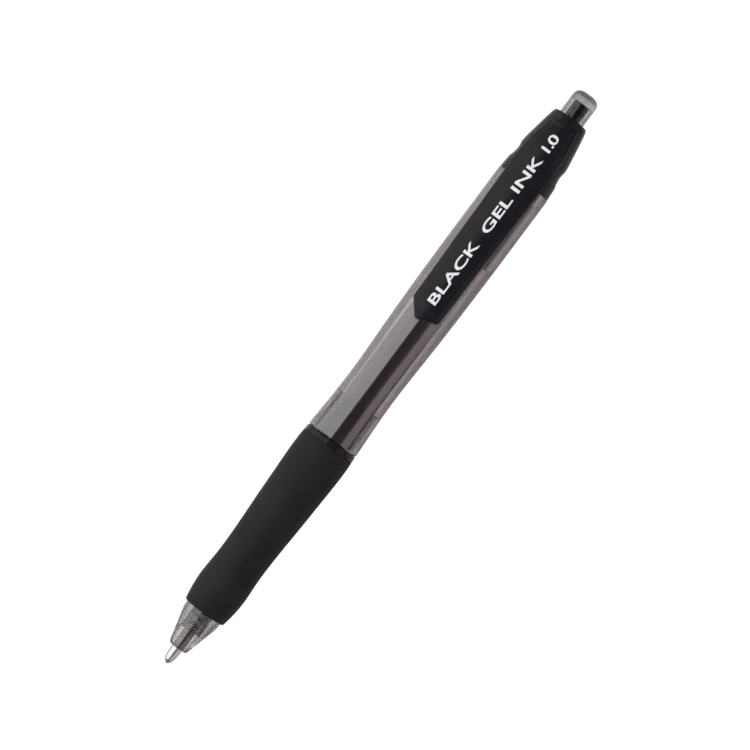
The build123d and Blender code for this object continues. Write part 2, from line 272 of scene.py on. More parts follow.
def turned(name, outline, segments=SEGMENTS, relief=None):
    """Solid of revolution from a closed outline. relief(station, radius, turn) moves its skin."""
    bm = bmesh.new()
    rows = []
    for station, radius in outline:
        if radius < 1e-6:
            rows.append([bm.verts.new(place(station))])
            continue
        row = []
        for k in range(segments):
            turn = k / segments
            out = min(BARREL_RADIUS, relief(station, radius, turn) if relief else radius)
            row.append(bm.verts.new(place(station, out * sin(2 * pi * turn), out * cos(2 * pi * turn))))
        rows.append(row)
    for first, second in zip(rows, rows[1:] + rows[:1]):
        bridge(bm, first, second)
    return mesh_object(name, bm)


def wire(name, centres, wire_radius):
    """Round wire along a list of points, with flat ends."""
    bm = bmesh.new()
    rows = []
    sides = 12
    for i, centre in enumerate(centres):
        along = (centres[min(i + 1, len(centres) - 1)] - centres[max(i - 1, 0)]).normalized()
        side = along.cross(Vector((1, 0, 0))).normalized()
        up = side.cross(along)
        row = []
        for k in range(sides):
            turn = 2 * pi * k / sides
            row.append(bm.verts.new(centre + wire_radius * MM * (side * cos(turn) + up * sin(turn))))
        rows.append(row)
    for first, second in zip(rows, rows[1:]):
        bridge(bm, first, second)
    bm.faces.new(rows[0])
    bm.faces.new(rows[-1])
    return mesh_object(name, bm, radians(60))


def combine(piece, other, operation):
    """Boolean of one object with another, which is used up."""
    cut = piece.modifiers.new("combine", "BOOLEAN")
    cut.operation = operation
    cut.object = other
    cut.solver = "EXACT"
    evaluated = piece.evaluated_get(bpy.context.evaluated_depsgraph_get())
    result = bpy.data.meshes.new_from_object(evaluated)
    piece.modifiers.clear()
    piece.data = result
    bpy.data.objects.remove(other)
    result.shade_smooth()
    result.set_sharp_from_angle(angle=SHADE_ANGLE)
    return piece


def block(name, start, end, half_width, bottom, top, bevel=0.1):
    """Bevelled block on the pen's centre plane."""
    bm = bmesh.new()
    bmesh.ops.create_cube(bm, size=1.0)
    size = Vector((end - start, 2 * half_width, top - bottom)) * MM
    middle = place((start + end) / 2, 0, (bottom + top) / 2)
    bmesh.ops.transform(bm, matrix=Matrix.LocRotScale(middle, None, size), verts=bm.verts)
    if bevel:
        bmesh.ops.bevel(bm, geom=bm.edges, offset=bevel * MM, segments=2, affect="EDGES", profile=0.5)
    return mesh_object(name, bm)


# --- materials ------------------------------------------------------------------------------


NOISE_LOW, NOISE_HIGH = 0.3, 0.7  # noise seldom leaves this range


class Look:
    """Node material around one Principled shader, with noise in the part's own coordinates."""

    def __init__(self, name, **sockets):
        self.material = bpy.data.materials.new(name)
        self.material.use_nodes = True
        self.nodes = self.material.node_tree.nodes
        self.links = self.material.node_tree.links
        self.shader = self.nodes["Principled BSDF"]
        self.coordinates = self.nodes.new("ShaderNodeTexCoord").outputs["Object"]
        for socket, value in sockets.items():
            self.shader.inputs[socket.replace("_", " ")].default_value = value

    def noise(self, size, detail=3.0, stretch=(1, 1, 1)):
        """Noise from 0 to 1 whose features are about size millimetres across."""
        mapping = self.nodes.new("ShaderNodeMapping")
        mapping.inputs["Scale"].default_value = stretch
        texture = self.nodes.new("ShaderNodeTexNoise")
        texture.inputs["Scale"].default_value = 1 / (size * MM)
        texture.inputs["Detail"].default_value = detail
        self.links.new(self.coordinates, mapping.inputs["Vector"])
        self.links.new(mapping.outputs["Vector"], texture.inputs["Vector"])
        return texture.outputs["Fac"]

    def tones(self, factor, dark, light):
        """Base colour between two close tones."""
        ramp = self.nodes.new("ShaderNodeValToRGB")
        ramp.color_ramp.elements[0].position = NOISE_LOW
        ramp.color_ramp.elements[0].color = (*dark, 1)
        ramp.color_ramp.elements[1].position = NOISE_HIGH
        ramp.color_ramp.elements[1].color = (*light, 1)
        self.links.new(factor, ramp.inputs["Fac"])
        self.links.new(ramp.outputs["Color"], self.shader.inputs["Base Color"])
        self.tone = ramp.outputs["Color"]
        return self

    def darker(self, factor, start, end, least):
        """Scales the base colour from 1 down to least as the factor goes from start to end."""
        depth = self.nodes.new("ShaderNodeMapRange")
        values = {"From Min": start, "From Max": end, "To Min": 1.0, "To Max": least}
        for socket, value in values.items():
            depth.inputs[socket].default_value = value
        shade = self.nodes.new("ShaderNodeVectorMath")
        shade.operation = "SCALE"
        self.links.new(factor, depth.inputs["Value"])
        self.links.new(self.tone, shade.inputs[0])
        self.links.new(depth.outputs["Result"], shade.inputs["Scale"])
        self.tone = shade.outputs["Vector"]
        self.links.new(self.tone, self.shader.inputs["Base Color"])
        return self

    def slant_tint_and_painted_edge_shade(self, start, end, least):
        """Clear plastic is darker where it is seen at a slant: partly the longer path through its
        thickness, partly painted shade that darkens its edges.
        """
        weight = self.nodes.new("ShaderNodeLayerWeight")
        weight.inputs["Blend"].default_value = 0.5
        return self.darker(weight.outputs["Facing"], start, end, least)

    def along(self, start, end):
        """Grows from 0 to 1 between two stations."""
        axes = self.nodes.new("ShaderNodeSeparateXYZ")
        self.links.new(self.coordinates, axes.inputs[0])
        spread = self.nodes.new("ShaderNodeMapRange")
        spread.inputs["From Min"].default_value = place(start).x
        spread.inputs["From Max"].default_value = place(end).x
        self.links.new(axes.outputs["X"], spread.inputs["Value"])
        return spread.outputs["Result"]

    def gloss(self, factor, smooth, rough):
        """Roughness between two values."""
        spread = self.nodes.new("ShaderNodeMapRange")
        spread.inputs["From Min"].default_value = NOISE_LOW
        spread.inputs["From Max"].default_value = NOISE_HIGH
        spread.inputs["To Min"].default_value = smooth
        spread.inputs["To Max"].default_value = rough
        self.links.new(factor, spread.inputs["Value"])
        self.links.new(spread.outputs["Result"], self.shader.inputs["Roughness"])
        return self

    def bumps(self, factor, height):
        """Relief of the given height in millimetres."""
        bump = self.nodes.new("ShaderNodeBump")
        bump.inputs["Strength"].default_value = 1.0
        bump.inputs["Distance"].default_value = height * MM
        self.links.new(factor, bump.inputs["Height"])
        self.links.new(bump.outputs["Normal"], self.shader.inputs["Normal"])
        return self

    def lets_light_through(self, tint):
        """Shadow rays pass a clear piece, tinted, so that it isn't black inside."""
        passing = self.nodes.new("ShaderNodeBsdfTransparent")
        passing.inputs["Color"].default_value = (*tint, 1)
        path = self.nodes.new("ShaderNodeLightPath")
        mix = self.nodes.new("ShaderNodeMixShader")
        output = self.nodes["Material Output"]
        self.links.new(path.outputs["Is Shadow Ray"], mix.inputs["Fac"])
        self.links.new(self.shader.outputs["BSDF"], mix.inputs[1])
        self.links.new(passing.outputs["BSDF"], mix.inputs[2])
        self.links.new(mix.outputs["Shader"], output.inputs["Surface"])
        return self


def smoke_plastic():
    """The rear barrel's plastic."""
    look = Look("smoke_plastic", IOR=1.7, Transmission_Weight=1.0)
    look.tones(look.noise(9.0, 2.0, (0.35, 1, 1)), (0.21, 0.18, 0.189), (0.25, 0.215, 0.224))
    # partly painted shade: the base colour darkens towards the barrel's slanted edges
    look.slant_tint_and_painted_edge_shade(0.25, 0.8, 0.36)
    look.gloss(look.noise(2.5), 0.03, 0.07)
    look.bumps(look.noise(1.2, 2.0, (0.2, 1, 1)), 0.004)
    return look.lets_light_through((0.5, 0.47, 0.48)).material


def nose_plastic():
    """The front barrel's plastic, lighter where it is thin, so that the point shows through."""
    look = Look("nose_plastic", IOR=1.6, Transmission_Weight=1.0, Specular_Tint=(0.4, 0.4, 0.4, 1))
    look.tones(look.noise(5.0, 2.0), (0.46, 0.455, 0.44), (0.54, 0.535, 0.515))
    # partly painted shade: the base colour darkens towards the nose's slanted edges
    look.slant_tint_and_painted_edge_shade(0.12, 0.7, 0.25)
    look.darker(look.along(6.5, 11.0), 0.0, 1.0, 0.75)
    look.gloss(look.noise(2.0), 0.04, 0.1)
    look.bumps(look.noise(1.0), 0.004)
    return look.lets_light_through((0.75, 0.74, 0.745)).material


def clear_plastic():
    """The button's plastic, with painted shade that darkens it where it rounds off at the end."""
    look = Look("clear_plastic", IOR=1.5, Transmission_Weight=1.0, Specular_Tint=(0.45, 0.45, 0.45, 1))
    look.tones(look.noise(2.0), (0.32, 0.325, 0.325), (0.38, 0.385, 0.385))
    # partly painted shade: the base colour darkens towards the button's slanted edges
    look.slant_tint_and_painted_edge_shade(0.2, 0.75, 0.25)
    # painted shade: a dark band where the button rounds off at its end
    look.darker(look.along(LENGTH - 1.5, LENGTH - 0.9), 0.0, 1.0, 0.2)
    look.gloss(look.noise(1.0), 0.03, 0.08)
    look.bumps(look.noise(0.6), 0.002)
    return look.lets_light_through((0.6, 0.6, 0.6)).material


def clear_tube():
    look = Look("clear_tube", IOR=1.5, Transmission_Weight=1.0)
    look.tones(look.noise(4.0, 2.0, (0.3, 1, 1)), (0.88, 0.88, 0.88), (0.94, 0.94, 0.94))
    look.gloss(look.noise(1.5, 2.0, (0.2, 1, 1)), 0.04, 0.1)
    look.bumps(look.noise(0.8, 2.0, (0.1, 1, 1)), 0.002)
    return look.lets_light_through((0.95, 0.95, 0.95)).material


def clear_grease():
    look = Look("clear_grease", IOR=1.46, Transmission_Weight=0.8)
    look.tones(look.noise(1.5), (0.85, 0.80, 0.62), (0.92, 0.88, 0.74))
    look.gloss(look.noise(0.8), 0.1, 0.25)
    look.bumps(look.noise(0.5), 0.003)
    return look.lets_light_through((0.9, 0.88, 0.8)).material


def black_plastic():
    look = Look("black_plastic", Specular_IOR_Level=0.10)
    look.tones(look.noise(3.0), (0.0065, 0.0065, 0.0085), (0.0095, 0.0095, 0.012))
    look.gloss(look.noise(0.8, 4.0), 0.12, 0.2)
    look.bumps(look.noise(0.25), 0.0012)
    return look.material


def grip_rubber():
    look = Look("grip_rubber", Specular_IOR_Level=0.05)
    look.tones(look.noise(6.0, 5.0), (0.0115, 0.0115, 0.0125), (0.015, 0.015, 0.0162))
    look.gloss(look.noise(1.5, 4.0), 0.5, 0.62)
    look.bumps(look.noise(0.12, 4.0), 0.008)
    return look.material


def white_plastic():
    look = Look("white_plastic")
    look.tones(look.noise(2.0), (0.74, 0.74, 0.72), (0.80, 0.80, 0.78))
    look.gloss(look.noise(1.0), 0.35, 0.5)
    look.bumps(look.noise(0.2), 0.002)
    return look.material


def tip_steel():
    look = Look("tip_steel", Metallic=1.0)
    look.tones(look.noise(0.5, 4.0, (8, 0.5, 0.5)), (0.32, 0.32, 0.325), (0.42, 0.42, 0.425))
    look.gloss(look.noise(0.4), 0.26, 0.32)
    look.bumps(look.noise(0.05, 2.0, (1, 0.05, 0.05)), 0.0008)
    return look.material


def spring_steel():
    look = Look("spring_steel", Metallic=1.0)
    look.tones(look.noise(0.6, 4.0), (0.48, 0.48, 0.5), (0.66, 0.66, 0.68))
    look.gloss(look.noise(0.4), 0.18, 0.32)
    look.bumps(look.noise(0.1), 0.0008)
    return look.material


def carbide():
    look = Look("carbide", Metallic=1.0)
    look.tones(look.noise(0.2), (0.36, 0.36, 0.38), (0.46, 0.46, 0.48))
    look.gloss(look.noise(0.1), 0.08, 0.16)
    look.bumps(look.noise(0.05), 0.0004)
    return look.material


def black_ink():
    look = Look("black_ink", Specular_IOR_Level=0.3)
    look.tones(look.noise(3.0, 3.0, (0.3, 1, 1)), (0.003, 0.003, 0.004), (0.006, 0.006, 0.007))
    look.gloss(look.noise(1.0), 0.1, 0.25)
    look.bumps(look.noise(0.6), 0.002)
    return look.material


def white_print():
    look = Look("white_print")
    look.tones(look.noise(0.35, 4.0), (0.56, 0.56, 0.57), (0.7, 0.7, 0.71))
    look.gloss(look.noise(0.3), 0.45, 0.6)
    look.bumps(look.noise(0.1), 0.001)
    return look.material


LOOKS = {
    make.__name__: make() for make in (
        smoke_plastic, nose_plastic, clear_plastic, clear_tube, clear_grease, black_plastic, grip_rubber,
        white_plastic, tip_steel, spring_steel, carbide, black_ink, white_print)
}


def fit(piece, body, slot, *nodes, look=None):
    """Gives a piece its material (the look if one is given, else the slot's) and its body, and hides the
    CAD nodes that it stands for.
    """
    piece.data.materials.clear()
    piece.data.materials.append(LOOKS[look or slot])
    if body:
        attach(piece, body)
    if nodes:
        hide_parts(*nodes)
    return piece


# --- barrel ---------------------------------------------------------------------------------


def thread_wave(station, turn):
    """Height of the screw thread, 0 to 1, at a station and a part of a turn."""
    phase = ((station - THREAD_START) / THREAD_PITCH - turn) % 1
    tooth = min(1.0, max(0.0, TOOTH_CREST - TOOTH_SLOPE * abs(phase - 0.5)))
    turns = min(station - THREAD_START, THREAD_END - station) / THREAD_PITCH
    return tooth * min(1.0, max(0.0, THREAD_RUN_OUT * turns))


def front_barrel():
    """Nose cone, grip carrier, flange and screw spigot."""
    nose = flow([(4.35, 2.2), (8.0, 3.16), (10.4, 3.79), (12.4, CARRIER_RADIUS)], 0.3, 0)
    spigot = [(s, SPIGOT_RADIUS) for s in np.arange(THREAD_START, THREAD_END, 0.1)]
    corners = [
        (NOSE_START, 1.7, 0.15), (3.93, 2.04, 0.25), *nose,
        (GRIP_END, CARRIER_RADIUS, 0.1), (GRIP_END, FLANGE_RADIUS, 0.1),
        (FLANGE_END, FLANGE_RADIUS, 0.1), (FLANGE_END, SPIGOT_RADIUS, 0.1), *spigot,
        (63.6, SPIGOT_RADIUS, 0.1), (SPIGOT_END, 4.05, 0.1), (SPIGOT_END, REFILL_BORE, 0.1),
        (14.5, REFILL_BORE, 0.3), (11.5, SPRING_BORE, 0.3),
        (SPRING_SEAT, SPRING_BORE, 0.05), (SPRING_SEAT, NOSE_BORE, 0.1),
        (NOSE_START, NOSE_BORE, 0.12)]

    def relief(station, radius, turn):
        if radius == SPIGOT_RADIUS and THREAD_START < station < THREAD_END:
            return radius + THREAD_DEPTH * thread_wave(station, turn)
        return radius

    fit(turned("front_barrel_shell", rounded(corners), relief=relief),
        "barrel", "smoke_plastic", "front_barrel", look="nose_plastic")


def joint_ring():
    """Glossy ring between the grip and the rear barrel."""
    corners = [
        (GRIP_END + HAIR, 5.05, 0.05), (GRIP_END + HAIR, 5.85, 0.1), (JOINT - 0.3, 5.8, 0.1),
        (JOINT - HAIR, 5.58, 0.08), (JOINT - HAIR, 4.66, 0.05),
        (FLANGE_END + HAIR, 4.66, 0.05), (FLANGE_END + HAIR, 5.05, 0.03)]
    fit(turned("joint_trim", rounded(corners)), "barrel", "black_plastic", "joint_ring")


def rear_barrel():
    """Smoke tube with a slim waist and a screw socket."""
    side = flow([(JOINT + 0.25, 5.77), (61.0, 5.53), (68.8, 5.31), (78.0, 5.53), (88.0, 5.8),
                 (97.0, 5.92), (103.0, BARREL_RADIUS)], -0.03, 0, 1.0)
    socket = [(s, SOCKET_RADIUS) for s in np.arange(THREAD_END, THREAD_START, -0.1)]
    corners = [
        (JOINT, SOCKET_RADIUS, 0.1), (JOINT, 5.58, 0.1), *side,
        (BARREL_END, BARREL_RADIUS, 0.15), (BARREL_END, COLLAR_BORE, 0.1),
        (CAP_STEP, COLLAR_BORE, 0.1), (CAP_STEP, CAM_BORE, 0.1),
        (CAM_SEAT, CAM_BORE, 0.1), (CAM_SEAT, BARREL_BORE, 0.1),
        (SOCKET_END, BARREL_BORE, 0.1), (SOCKET_END, SOCKET_RADIUS, 0.1), *socket]

    def relief(station, radius, turn):
        if radius == SOCKET_RADIUS and THREAD_START < station < THREAD_END:
            return radius - THREAD_DEPTH * thread_wave(station, turn + 0.5)
        return radius

    fit(turned("rear_barrel_tube", rounded(corners), relief=relief),
        "barrel", "smoke_plastic", "rear_barrel")


def grip():
    """Rubber sleeve with a bulge at each end and a waist for the fingers."""
    side = flow([(13.3, 4.73), (15.6, 5.08), (18.9, 5.31), (22.6, 5.14), (26.6, 5.06), (36.0, 5.42),
                 (46.0, 5.82), (52.2, BARREL_RADIUS), (53.9, 5.88)], 0.2, -0.06, 0.6)
    corners = [
        (GRIP_START, 4.36, 0.1), (12.8, 4.6, 0.15), *side, (GRIP_END - HAIR, 5.84, 0.05),
        (GRIP_END - HAIR, CARRIER_RADIUS + HAIR, 0.05), (GRIP_START, CARRIER_RADIUS + HAIR, 0.1)]
    fit(turned("grip_sleeve", rounded(corners)), "barrel", "grip_rubber", "grip")


def top_cap():
    """Black end piece with a collar, a groove, a dome and the clip's pocket."""
    groove = flow([(COLLAR_END, 5.52), (124.2, 5.28), (125.0, 5.22), (GROOVE_END, GROOVE_RADIUS)],
                  -0.3, 0.2, 0.2)
    corners = [
        (BARREL_END + HAIR, 4.2, 0.05), (BARREL_END + HAIR, 5.78, 0.12), (119.9, 5.86, 0.12),
        (COLLAR_END - 0.2, 5.66, 0.15), *groove, *cap_dome()[1:], (CAP_END - 0.12, 3.76, 0.3),
        (CAP_END, 3.44, 0.3), (CAP_END, BUTTON_HOLE, 0.15), (GROOVE_END, BUTTON_HOLE, 0.1),
        (GROOVE_END, CAP_BORE, 0.1), (CAP_START, CAP_BORE, 0.1), (CAP_START, 4.0, 0.1),
        (CAP_STEP, 4.0, 0.05), (CAP_STEP, 4.2, 0.05)]
    cap = turned("cap_dome", rounded(corners))
    pocket = block("pocket_cutter", GROOVE_END, CLIP_POCKET, 2.6, 3.8, 9.0, bevel=0)
    fit(combine(cap, pocket, "DIFFERENCE"), "barrel", "black_plastic", "top_cap")


def return_spring():
    """Compression spring with closed ends, between the nose and the refill's shoulder."""
    start, end = SPRING_SEAT, REFILL_SHOULDER
    coil, radius, turns = 2.05, 0.2, 9
    closed = 2 * radius / (end - start - 2 * radius)  # part of the length taken by the flat end turn
    per_turn = 40  # points on the wire in each turn
    centres = []
    for k in range(turns * per_turn + 1):
        turn = k / per_turn
        if turn < 1:
            part = closed * turn
        elif turn > turns - 1:
            part = 1 - closed * (turns - turn)
        else:
            part = closed + (1 - 2 * closed) * (turn - 1) / (turns - 2)
        station = start + radius + (end - start - 2 * radius) * part
        angle = 2 * pi * turn
        centres.append(place(station, coil * sin(angle), coil * cos(angle)))
    spring = fit(wire("return_spring_coil", centres, radius), None, "spring_steel", "return_spring")
    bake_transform(spring)


# --- clip -----------------------------------------------------------------------------------


def narrowing(station):
    """How far the clip has narrowed over the cap, from 0 at the collar to 1 at its end."""
    return (max(0.0, station - COLLAR_END) / (CLIP_END - COLLAR_END)) ** 2


def clip_half(station):
    """Half-width of the clip, apart from its pointed end."""
    flare = min(1.0, (station - CLIP_START) / (COLLAR_END - CLIP_START))
    return CLIP_HALF + CLIP_FLARE * flare - CLIP_NARROWING * narrowing(station)


def clip_limits(station):
    """The -Y and the +Y side of the clip at a station: its free end is an off-centre point."""
    half = clip_half(station)
    gain = station - CLIP_START
    left = min(half, CLIP_POINT + CLIP_SLANTS[0] * gain)
    right = max(-half, CLIP_POINT - CLIP_BLUNT - CLIP_SLANTS[1] * (gain - CLIP_BLUNT_END))
    return min(right, left - CLIP_LEAST_WIDTH), left


def clip_ridge(station):
    """Distance of the two ridges from the middle, between the top and the shoulders."""
    return CLIP_RIDGE - CLIP_RIDGE_NARROWING * narrowing(station)


def dome_radius(station):
    """Radius of the cap's dome under the clip."""
    line = cap_dome()
    return float(np.interp(station, [point[0] for point in line], [point[1] for point in line]))


def clip_top(station, y):
    """Height of the clip's crowned top and sloped shoulders."""
    along = max(0.0, station - CLIP_DROP) / (CLIP_END - CLIP_DROP)
    top = CLIP_REAR_TOP + (CLIP_TOP - CLIP_REAR_TOP) * cos(pi / 2 * along)
    ridge = clip_ridge(station)
    if abs(y) <= ridge:
        return top - CLIP_CROWN * (y / ridge) ** 2
    drop = CLIP_SHOULDER * (1 + narrowing(station))
    return top - CLIP_CROWN - drop * (abs(y) - ridge) / (clip_half(station) - ridge)


def clip_under(station, y):
    """Height of the clip's underside, which hugs the cap's dome at the rear."""
    if station <= GROOVE_END:
        return float(np.interp(station, [COLLAR_END, 124.6, GROOVE_END], [CLIP_UNDERSIDE, 6.2, 5.5]))
    radius = dome_radius(station) + CLIP_GAP
    return sqrt(max(radius ** 2 - y ** 2, 0.0))


def clip_columns(station):
    """Fractions of the clip's half-width, dense at its edges and at its two ridges."""
    ridge = clip_ridge(station) / clip_half(station)
    rim = [1 - t for t in (0, 0.006, 0.014, 0.026, 0.042, 0.06)]
    inner = [ridge + 0.02, ridge, ridge - 0.02] + [ridge * t for t in (0.85, 0.7, 0.55, 0.4, 0.25, 0.12)]
    positive = rim + [(ridge + 0.94) / 2] + inner
    return sorted([-c for c in positive] + [0.0] + positive)


def clip():
    """Sprung pocket clip with a bead under its free end and a root in the cap."""
    front = [CLIP_START + t for t in (0, 0.02, 0.05, 0.1, 0.16, 0.24, 0.34)]
    stations = front + list(np.arange(CLIP_START + 0.5, CLIP_START + 5, 0.25))
    stations += list(np.arange(CLIP_START + 5, CLIP_DROP, 1.5))
    stations += list(np.arange(CLIP_DROP, CLIP_END - 0.4, 0.6))
    stations += [CLIP_END - t for t in (0.3, 0.2, 0.12, 0.06, 0.02, 0)]
    bm = bmesh.new()
    rows = []
    for station in stations:
        low, high = clip_limits(station)
        half = (high - low) / 2
        upper, lower = [], []
        for column in clip_columns(station):
            y = (low + high) / 2 + column * half
            edge = min(half * (1 - abs(column)), 1.5 * (station - CLIP_START) + 0.01,
                       CLIP_END - station)
            under = clip_under(station, y)
            top = max(clip_top(station, y), under + CLIP_LEAST_WALL)
            rounding = min(CLIP_ROUNDING, 0.45 * (top - under))
            inset = max(0.0, rounding - edge)
            fall = rounding - sqrt(max(rounding ** 2 - inset ** 2, 0.0))
            upper.append(bm.verts.new(place(station, y, top - fall)))
            lower.append(bm.verts.new(place(station, y, under + fall)))
        rows.append(upper + lower[::-1])
    for first, second in zip(rows, rows[1:]):
        bridge(bm, first, second)
    bm.faces.new(rows[0])
    bm.faces.new(rows[-1])
    blade = mesh_object("clip_blade", bm)
    root = block("clip_root", GROOVE_END + 0.1, CLIP_POCKET - 0.1, 2.5, 3.85, 4.9)
    bead_bm = bmesh.new()
    across = Matrix.Rotation(pi / 2, 3, "X")
    bead_at = Matrix.LocRotScale(place(BEAD_STATION, 0, CLIP_UNDERSIDE), across, None)
    bmesh.ops.create_cone(bead_bm, cap_ends=True, segments=48, radius1=BEAD_RADIUS * MM,
                          radius2=BEAD_RADIUS * MM, depth=BEAD_LENGTH * MM, matrix=bead_at)
    bead = mesh_object("clip_bead", bead_bm)
    combine(blade, root, "UNION")
    combine(blade, bead, "UNION")
    fit(blade, "clip", "black_plastic", "clip")


def flat_word(text, start, end, spacing):
    """Flat mesh of a word in millimetres, between two stations and centred on y = 0."""
    curve = bpy.data.curves.new("lettering", "FONT")
    curve.body = text
    curve.resolution_u = 6
    curve.space_character = spacing
    curve.offset = LETTER_WEIGHT
    writer = bpy.data.objects.new("lettering", curve)
    mesh = bpy.data.meshes.new_from_object(writer)
    bpy.data.objects.remove(writer)
    points = np.array([vert.co for vert in mesh.vertices])
    low, high = points.min(axis=0), points.max(axis=0)
    for vert in mesh.vertices:
        along = (vert.co.x - low[0]) / (high[0] - low[0])
        across = (vert.co.y - low[1]) / (high[1] - low[1]) - 0.5
        vert.co = Vector((start + along * (end - start), across * LETTER_HEIGHT, 0))
    return mesh


def clip_print():
    """Generic white lettering along the clip, a thin skin that follows its surface."""
    bm = bmesh.new()
    for word in WORDS:
        bm.from_mesh(flat_word(*word))
    cuts = [((station, 0, 0), (1, 0, 0)) for station in np.arange(89, 132, 0.5)]
    cuts += [((0, y, 0), (0, 1, 0)) for y in np.arange(-1.2, 1.21, 0.3)]
    for point, normal in cuts:
        bmesh.ops.bisect_plane(bm, geom=bm.verts[:] + bm.edges[:] + bm.faces[:],
                               plane_co=point, plane_no=normal)
    bmesh.ops.remove_doubles(bm, verts=bm.verts, dist=0.0005)
    skin = bmesh.ops.extrude_face_region(bm, geom=bm.faces[:])
    raised = {v for v in skin["geom"] if isinstance(v, bmesh.types.BMVert)}
    for vert in bm.verts:
        lift = PRINT_TOP if vert in raised else PRINT_BOTTOM
        station, y = vert.co.x, vert.co.y
        vert.co = place(station, y, clip_top(station, y) + lift)
    fit(mesh_object("clip_lettering", bm), "clip", "black_plastic", look="white_print")


# --- button and refill ----------------------------------------------------------------------


def push_button():
    """Clear cap over the plunger's core."""
    crown = []
    for turn in np.radians(np.arange(0, 91, 9)):
        station = LENGTH - BUTTON_ROUND * (1 - cos(turn))
        crown.append((station, BUTTON_RADIUS - BUTTON_ROUND * (1 - sin(turn))))
    corners = [
        (LENGTH, 0), *crown, (CAP_END, BUTTON_RADIUS), (BUTTON_START + HAIR, 2.78, 0.1),
        (BUTTON_START + HAIR, BUTTON_BORE, 0.1), (CORE_END + HAIR, BUTTON_BORE, 0.25),
        (CORE_END + HAIR, 0)]
    fit(turned("button_cap", rounded(corners)), "button", "clear_plastic", "push_button")


def turned_pieces():
    """The plain turned pieces of the refill, each with its corners, slot and CAD node."""
    stem_end = HOLDER_BORE_END - HAIR
    ink_start, ink_step = HOLDER_BORE_END + 0.03, HOLDER_END + 0.05
    point = [
        (0.28, POINT_BORE), (0.28, 0.55, 0.05), (0.8, 0.9, 0.15), (1.5, 1.05, 0.2),
        (2.6, POINT_RADIUS, 0.4), (HOLDER_START - HAIR, POINT_RADIUS, 0.1),
        (HOLDER_START - HAIR, POINT_STEM, 0.05), (stem_end, POINT_STEM, 0.1),
        (stem_end, INK_CHANNEL, 0.03), (6, INK_CHANNEL), (6, POINT_BORE), (0.9, POINT_BORE)]
    holder = [
        (HOLDER_START, POINT_STEM + HAIR, 0.05), (HOLDER_START, 1.5, 0.1), (10.6, HOLDER_NECK, 0.15),
        (REFILL_SHOULDER, HOLDER_NECK, 0.1), (REFILL_SHOULDER, 2.6, 0.1), (19.4, TUBE_RADIUS, 0.1),
        (TUBE_START - HAIR, TUBE_RADIUS, 0.05), (TUBE_START - HAIR, PLUG_RADIUS, 0.05),
        (HOLDER_END, PLUG_RADIUS, 0.1), (HOLDER_END, HOLDER_BORE, 0.05),
        (HOLDER_BORE_END, HOLDER_BORE, 0.05), (HOLDER_BORE_END, POINT_STEM + HAIR, 0.05)]
    tube = [
        (TUBE_START, TUBE_BORE, 0.06), (TUBE_END, TUBE_BORE, 0.06),
        (TUBE_END, TUBE_RADIUS, 0.06), (TUBE_START, TUBE_RADIUS, 0.06)]
    ink = [
        (ink_start, 0), (ink_start, 0.5, 0.05), (ink_step, 0.5, 0.05),
        (ink_step, PLUG_RADIUS, 0.1), (INK_END, PLUG_RADIUS, 0.1), (INK_END, 0)]
    grease = [
        (INK_END + HAIR, 0), (INK_END + HAIR, PLUG_RADIUS, 0.1), (92, PLUG_RADIUS, 0.4), (92.3, 0)]
    tail = [
        (TAIL_START, 0.5, 0.05), (TAIL_START, PLUG_RADIUS, 0.1), (TUBE_END + HAIR, PLUG_RADIUS, 0.03),
        (TUBE_END + HAIR, 2.6, 0.1), (100.5, 2.6, 0.1), (100.5, 0.5, 0.05)]
    pieces = [
        ("refill_point", point, "tip_steel", "tip_cone"),
        ("refill_holder", holder, "white_plastic", "tip_holder"),
        ("refill_tube", tube, "clear_tube", "ink_tube"),
        ("refill_ink", ink, "black_ink", "ink_column"),
        ("refill_grease", grease, "clear_grease", "grease_follower"),
        ("refill_tail", tail, "white_plastic", "tail_plug"),
    ]
    for name, corners, slot, node in pieces:
        fit(turned(name, rounded(corners), 96), "refill", slot, node)


def writing_ball():
    """Carbide ball in the tip."""
    outline = []
    for turn in np.linspace(0, pi, 25):
        outline.append((BALL_RADIUS * (1 - cos(turn)), BALL_RADIUS * sin(turn)))
    fit(turned("writing_ball", outline, 48), "ball", "carbide", "ball")


def dress_cad_nodes():
    """Mechanism pieces that keep their CAD shape, with full materials."""
    looks = {"rotor": "white_plastic", "cam_sleeve": "white_plastic", "plunger": "black_plastic",
             "ball_spring": "spring_steel"}
    for node, look in looks.items():
        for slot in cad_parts[node].material_slots:
            slot.material = LOOKS[look]


# --- studio ---------------------------------------------------------------------------------

SOFTBOX = 2.8  # brightness of the softbox, which fills the pen's +Y side
SOFTBOX_EDGE = (0.03, 0.14)  # where it begins beside the zenith, as a direction's Y
FILL = 1.5  # brightness of the -Y side, low down
FILL_EDGE = (0.62, 0.81)  # between these heights it falls off to the dark overhead
HORIZON = (0.05, 0.35)  # below these heights it falls off as well
FILL_TINT = (1.0, 0.86, 0.9)
OVERHEAD = 0.25  # brightness between the two sides, overhead and below the horizon
END_EDGE = (0.45, 0.8)  # between these X of a direction the studio falls off past the pen's ends
END_LEVEL = 0.15  # what is left there
FLOOR_SIZE = 3.0
FLOOR_GAP = 0.00002  # below the pen, in metres
FLOOR_WHITE = 1.1  # brightness seen by the camera
FLOOR_TONE = 0.86  # colour seen by everything else
CAMERA_TILT = radians(3.8)  # the camera leans this far from straight above, towards -Y
CAMERA_ROLL = radians(53.3)  # the pen's slope in the picture
CAMERA_LENS = 200.0  # in millimetres
SENSOR = 36.0
FRAMING = 0.150  # width of the picture at the pen, in metres
AIM_RIGHT, AIM_UP = -0.52, 0.816  # from the pen's middle to the picture's middle, in millimetres


